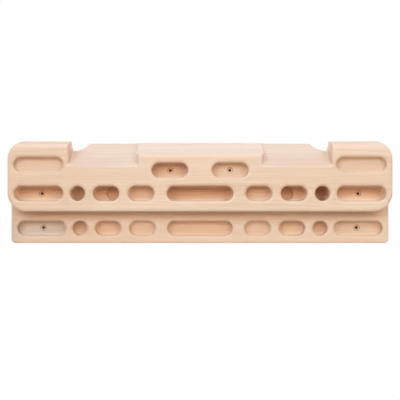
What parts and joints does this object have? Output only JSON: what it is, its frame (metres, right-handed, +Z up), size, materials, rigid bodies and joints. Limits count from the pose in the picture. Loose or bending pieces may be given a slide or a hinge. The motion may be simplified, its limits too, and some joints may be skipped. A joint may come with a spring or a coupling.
{
  "type": "hangboard",
  "caption": "Wooden finger training board for a wall: three rows of finger pockets, slopers along the top and a jug at each end.",
  "frame": {"origin": "middle of the flat wall face", "axes": "+Y out of the wall face into the wall, -Y towards the user, +X along the board to the user's right, +Z up"},
  "size_m": [0.7, 0.055, 0.188],
  "materials": {
    "front_wood": "sanded, untreated pale hardwood",
    "rear_wood": "sanded, untreated pale hardwood"
  },
  "bodies": {
    "root": {"rear_stave_1": "rear_wood", "rear_stave_2": "rear_wood", "rear_stave_3": "rear_wood", "rear_stave_4": "rear_wood", "rear_stave_5": "rear_wood", "front_stave_1": "front_wood", "front_stave_2": "front_wood", "front_stave_3": "front_wood"}
  },
  "joints": []
}
